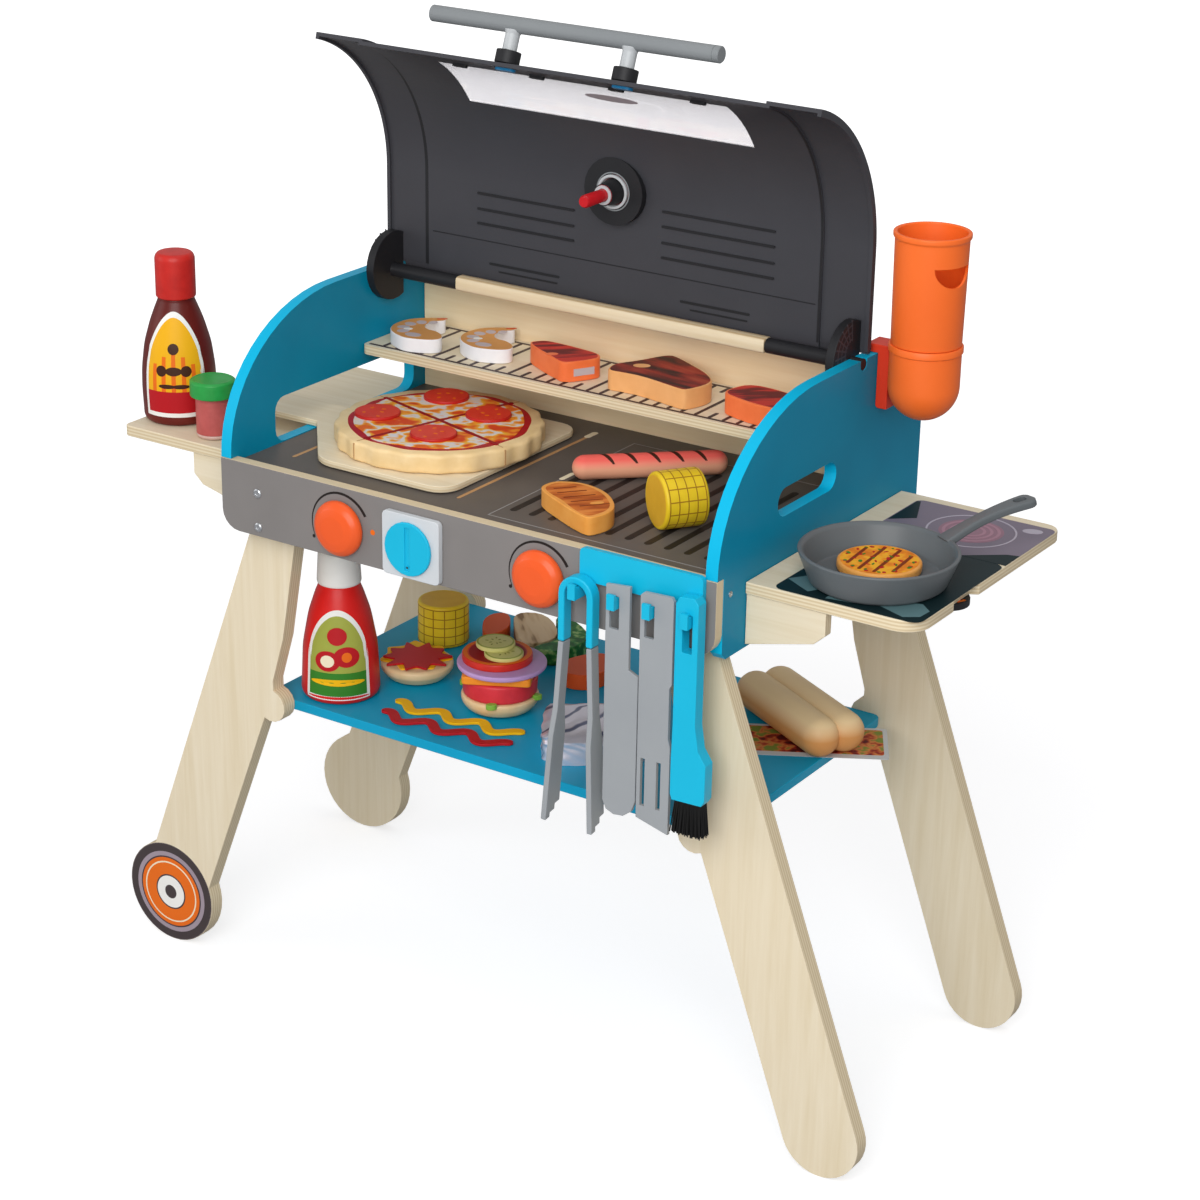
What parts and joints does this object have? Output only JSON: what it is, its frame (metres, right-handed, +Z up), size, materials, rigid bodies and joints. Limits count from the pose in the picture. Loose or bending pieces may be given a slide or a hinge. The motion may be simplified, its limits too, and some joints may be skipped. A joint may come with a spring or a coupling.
{
  "type": "toy barbecue grill",
  "caption": "Wooden play barbecue grill on splayed legs: hinged lid, control fascia, side tables, warming rack, lower shelf, smoker cup, hanging tools and loose play food.",
  "frame": {"origin": "middle of the object's box, on the floor under it", "axes": "+Z is up, out of the cooktop; -Y is the front, out of the control fascia; +X is to the right along the fascia"},
  "size_m": [0.8214, 0.3584, 0.8901],
  "materials": {
    "side_panel_teal": "painted, satin",
    "fascia_grey": "painted, satin",
    "bare_ply": "bare plywood",
    "cooktop_print": "painted, satin",
    "rack_print": "printed plywood",
    "shelf_teal": "printed plywood",
    "table_print": "printed plywood",
    "lid_charcoal": "satin, moulded",
    "window_clear": "clear",
    "handle_grey": "satin",
    "utensil_grey": "satin, moulded",
    "knob_orange": "painted, gloss",
    "smoker_orange": "satin, moulded",
    "red_tip": "satin",
    "cyan_plastic": "satin, moulded",
    "white_plate": "satin",
    "bristle_black": "matt",
    "pan_grey": "satin, moulded",
    "food_wood": "painted, satin",
    "bottle_paint": "painted, satin",
    "foil_silver": "crumpled sheen"
  },
  "bodies": {
    "stand": {"left_side_panel": "side_panel_teal", "right_side_panel": "side_panel_teal", "front_fascia": "fascia_grey", "back_panel": "bare_ply", "cooktop": "cooktop_print", "warming_rack": "rack_print", "left_table": "bare_ply", "right_table": "table_print", "left_bracket": "bare_ply", "right_bracket": "bare_ply", "front_left_leg": "bare_ply", "front_right_leg": "bare_ply", "rear_left_leg": "bare_ply", "rear_right_leg": "bare_ply", "lower_shelf": "shelf_teal", "dial_plate": "white_plate", "utensil_hanger": "cyan_plastic", "smoker_base": "smoker_orange"},
    "lid": {"lid_shell": "lid_charcoal", "lid_window": "window_clear", "lid_handle_bar": "handle_grey", "lid_post_left": "lid_charcoal", "lid_post_right": "lid_charcoal", "lid_ear_left": "lid_charcoal", "lid_ear_right": "lid_charcoal", "hinge_bar": "bare_ply", "gauge_housing": "lid_charcoal"},
    "gauge_spindle": {"gauge_spindle": "red_tip"},
    "oven_knob_left": {"oven_knob_left": "knob_orange"},
    "oven_knob_right": {"oven_knob_right": "knob_orange"},
    "dial": {"dial": "cyan_plastic"},
    "hob_dial": {"hob_dial": "lid_charcoal"},
    "smoker_cup": {"smoker_cup": "smoker_orange"},
    "tongs": {"tongs_yoke": "cyan_plastic"},
    "tongs_arm_left": {"tongs_arm_left": "utensil_grey"},
    "tongs_arm_right": {"tongs_arm_right": "utensil_grey"},
    "knife": {"knife": "utensil_grey"},
    "spatula": {"spatula": "utensil_grey"},
    "brush": {"brush_handle": "cyan_plastic", "brush_bristles": "bristle_black"},
    "frying_pan": {"frying_pan": "pan_grey"},
    "veggie_patty": {"veggie_patty": "food_wood"},
    "pizza_peel": {"pizza_peel": "bare_ply"},
    "pizza": {"pizza": "food_wood"},
    "sausage": {"sausage": "food_wood"},
    "corn_on_grill": {"corn_on_grill": "food_wood"},
    "chicken_steak": {"chicken_steak": "food_wood"},
    "shrimp_left": {"shrimp_left": "food_wood"},
    "shrimp_right": {"shrimp_right": "food_wood"},
    "salmon_left": {"salmon_left": "food_wood"},
    "salmon_right": {"salmon_right": "food_wood"},
    "t_bone_steak": {"t_bone_steak": "food_wood"},
    "sauce_bottle": {"sauce_bottle": "bottle_paint"},
    "spice_shaker": {"spice_shaker": "bottle_paint"},
    "ketchup_bottle": {"ketchup_bottle": "bottle_paint"},
    "corn_on_shelf": {"corn_on_shelf": "food_wood"},
    "open_bun": {"open_bun": "food_wood"},
    "burger": {"burger": "food_wood"},
    "hot_dog_bun": {"hot_dog_bun": "food_wood"},
    "foil_packet": {"foil_packet": "foil_silver"}
  },
  "joints": [
    {"name": "lid_hinge", "type": "hinge", "parent": "stand", "child": "lid", "pos_m": [-0.00069, 0.06815, 0.633], "axis": [1, 0, 0], "range_deg": [0, 90]},
    {"name": "gauge_turn", "type": "hinge", "parent": "lid", "child": "gauge_spindle", "pos_m": [-0.00069, 0.07892, 0.73885], "axis": [0, 1, 0], "continuous": true},
    {"name": "left_knob_turn", "type": "hinge", "parent": "stand", "child": "oven_knob_left", "pos_m": [-0.12019, -0.16085, 0.477], "axis": [0, 1, 0], "continuous": true},
    {"name": "right_knob_turn", "type": "hinge", "parent": "stand", "child": "oven_knob_right", "pos_m": [0.08381, -0.16085, 0.479], "axis": [0, 1, 0], "continuous": true},
    {"name": "dial_turn", "type": "hinge", "parent": "stand", "child": "dial", "pos_m": [-0.04369, -0.16385, 0.477], "axis": [0, 1, 0], "continuous": true},
    {"name": "hob_dial_turn", "type": "hinge", "parent": "stand", "child": "hob_dial", "pos_m": [0.38131, -0.02085, 0.487], "axis": [0, 0, 1], "continuous": true},
    {"name": "smoker_cup_lift", "type": "slide", "parent": "stand", "child": "smoker_cup", "axis": [0, 0, 1], "range_m": [0, 0.1]},
    {"name": "tongs_unhook", "type": "slide", "parent": "stand", "child": "tongs", "axis": [0, -0.7071, 0.7071], "range_m": [0, 0.03]},
    {"name": "knife_unhook", "type": "slide", "parent": "stand", "child": "knife", "axis": [0, -0.7071, 0.7071], "range_m": [0, 0.03]},
    {"name": "spatula_unhook", "type": "slide", "parent": "stand", "child": "spatula", "axis": [0, -0.7071, 0.7071], "range_m": [0, 0.03]},
    {"name": "brush_unhook", "type": "slide", "parent": "stand", "child": "brush", "axis": [0, -0.7071, 0.7071], "range_m": [0, 0.03]},
    {"name": "tongs_left_squeeze", "type": "hinge", "parent": "tongs", "child": "tongs_arm_left", "pos_m": [0.11581, -0.16735, 0.4367], "axis": [0, -1, 0], "range_deg": [0, 6]},
    {"name": "tongs_right_squeeze", "type": "hinge", "parent": "tongs", "child": "tongs_arm_right", "pos_m": [0.1428, -0.16735, 0.4367], "axis": [0, 1, 0], "range_deg": [0, 6]},
    {"name": "pan_lift", "type": "slide", "parent": "stand", "child": "frying_pan", "axis": [0, 0, 1], "range_m": [0, 0.1]},
    {"name": "patty_lift", "type": "slide", "parent": "frying_pan", "child": "veggie_patty", "axis": [0, 0, 1], "range_m": [0, 0.06]},
    {"name": "peel_slide", "type": "slide", "parent": "stand", "child": "pizza_peel", "axis": [-1, 0, 0], "range_m": [0, 0.027]},
    {"name": "pizza_lift", "type": "slide", "parent": "pizza_peel", "child": "pizza", "axis": [0, 0, 1], "range_m": [0, 0.02]},
    {"name": "sausage_lift", "type": "slide", "parent": "stand", "child": "sausage", "axis": [0, 0, 1], "range_m": [0, 0.025]},
    {"name": "corn_on_grill_lift", "type": "slide", "parent": "stand", "child": "corn_on_grill", "axis": [0, 0, 1], "range_m": [0, 0.05]},
    {"name": "chicken_steak_lift", "type": "slide", "parent": "stand", "child": "chicken_steak", "axis": [0, 0, 1], "range_m": [0, 0.05]},
    {"name": "shrimp_left_lift", "type": "slide", "parent": "stand", "child": "shrimp_left", "axis": [0, 0, 1], "range_m": [0, 0.03]},
    {"name": "shrimp_right_lift", "type": "slide", "parent": "stand", "child": "shrimp_right", "axis": [0, 0, 1], "range_m": [0, 0.03]},
    {"name": "salmon_left_lift", "type": "slide", "parent": "stand", "child": "salmon_left", "axis": [0, 0, 1], "range_m": [0, 0.03]},
    {"name": "salmon_right_lift", "type": "slide", "parent": "stand", "child": "salmon_right", "axis": [0, 0, 1], "range_m": [0, 0.03]},
    {"name": "t_bone_steak_lift", "type": "slide", "parent": "stand", "child": "t_bone_steak", "axis": [0, 0, 1], "range_m": [0, 0.03]},
    {"name": "sauce_bottle_lift", "type": "slide", "parent": "stand", "child": "sauce_bottle", "axis": [0, 0, 1], "range_m": [0, 0.15]},
    {"name": "spice_shaker_lift", "type": "slide", "parent": "stand", "child": "spice_shaker", "axis": [0, 0, 1], "range_m": [0, 0.15]},
    {"name": "ketchup_bottle_lift", "type": "slide", "parent": "stand", "child": "ketchup_bottle", "axis": [0, 0, 1], "range_m": [0, 0.07]},
    {"name": "corn_on_shelf_lift", "type": "slide", "parent": "stand", "child": "corn_on_shelf", "axis": [0, 0, 1], "range_m": [0, 0.08]},
    {"name": "open_bun_lift", "type": "slide", "parent": "stand", "child": "open_bun", "axis": [0, 0, 1], "range_m": [0, 0.08]},
    {"name": "burger_lift", "type": "slide", "parent": "stand", "child": "burger", "axis": [0, 0, 1], "range_m": [0, 0.08]},
    {"name": "hot_dog_bun_lift", "type": "slide", "parent": "stand", "child": "hot_dog_bun", "axis": [0, 0, 1], "range_m": [0, 0.08]},
    {"name": "foil_packet_lift", "type": "slide", "parent": "stand", "child": "foil_packet", "axis": [0, 0, 1], "range_m": [0, 0.08]}
  ],
  "couplings": [
    {"joint": "tongs_right_squeeze", "follows": "tongs_left_squeeze", "ratio": 1}
  ]
}
